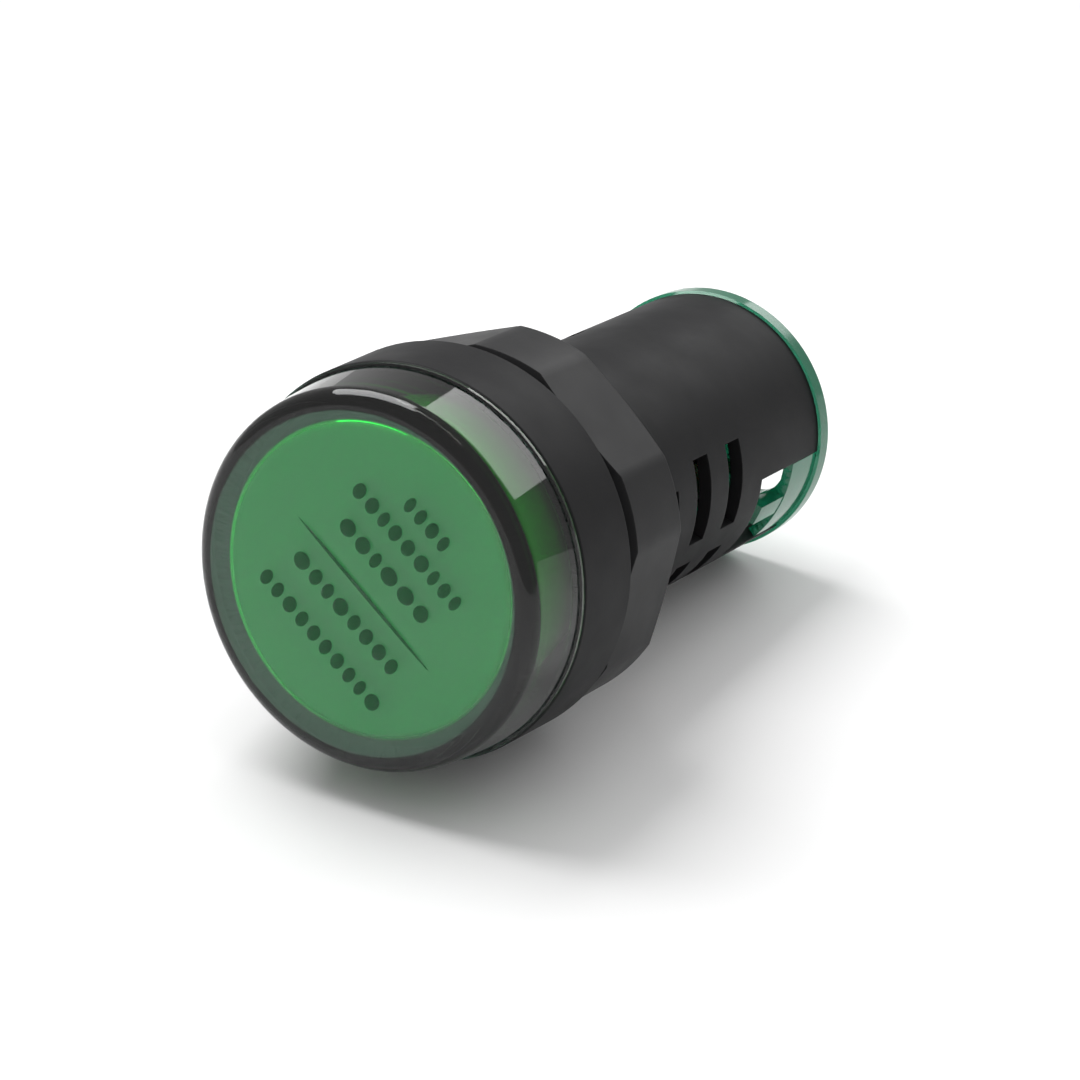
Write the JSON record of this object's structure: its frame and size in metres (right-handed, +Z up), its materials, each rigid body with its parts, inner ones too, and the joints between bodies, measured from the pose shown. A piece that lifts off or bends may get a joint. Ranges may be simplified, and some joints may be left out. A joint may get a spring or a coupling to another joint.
{
  "type": "panel pilot light",
  "caption": "Panel pilot light: translucent green lens cap, black bezel and slotted barrel, gasket, hex panel nut and rear screw terminals.",
  "frame": {"origin": "centre of the seat plane, where the gasket's rear face meets the front of the panel", "axes": "+Y along the device axis from the lens to the terminals, +Z up, +X to the right seen from the front"},
  "size_m": [0.0302, 0.054, 0.0302],
  "materials": {
    "lens_green": "translucent green, smooth gloss",
    "clear_film": "clear, thin, glossy",
    "opal_white": "opal white, matte",
    "black_plastic": "fine moulded grain",
    "white_board": "white solder mask",
    "led_package": "white package, pale yellow lens",
    "green_board": "green solder mask",
    "capacitor_coating": "dipped coating",
    "can_sleeve": "shrink sleeve",
    "black_epoxy": "moulded epoxy",
    "resistor_blue": "lacquered",
    "resistor_tan": "lacquered",
    "base_green": "translucent green, smooth",
    "brass": "stamped",
    "plated_steel": "zinc plated",
    "black_rubber": "matte",
    "nut_plastic": "smooth, satin"
  },
  "bodies": {
    "body": {"lens": "lens_green", "protective_film": "clear_film", "diffuser": "opal_white", "housing": "black_plastic", "led_board": "white_board", "leds": "led_package", "driver_board": "green_board", "dropper_capacitor": "capacitor_coating", "smoothing_capacitor": "can_sleeve", "bridge_rectifier": "black_epoxy", "inrush_resistor": "resistor_blue", "bleed_resistor": "resistor_tan", "terminal_base": "base_green", "terminal_strip_1": "brass", "terminal_strip_2": "brass", "panel_gasket": "black_rubber"},
    "nut": {"panel_nut": "nut_plastic"},
    "terminal_1": {"terminal_screw_1": "plated_steel", "clamp_washer_1": "plated_steel"},
    "terminal_2": {"terminal_screw_2": "plated_steel", "clamp_washer_2": "plated_steel"}
  },
  "joints": [
    {"name": "nut_travel", "type": "slide", "parent": "body", "child": "nut", "axis": [0, 1, 0], "range_m": [0, 0.006]},
    {"name": "terminal_1_travel", "type": "slide", "parent": "body", "child": "terminal_1", "axis": [0, 1, 0], "range_m": [0, 0.0018]},
    {"name": "terminal_2_travel", "type": "slide", "parent": "body", "child": "terminal_2", "axis": [0, 1, 0], "range_m": [0, 0.0018]}
  ]
}
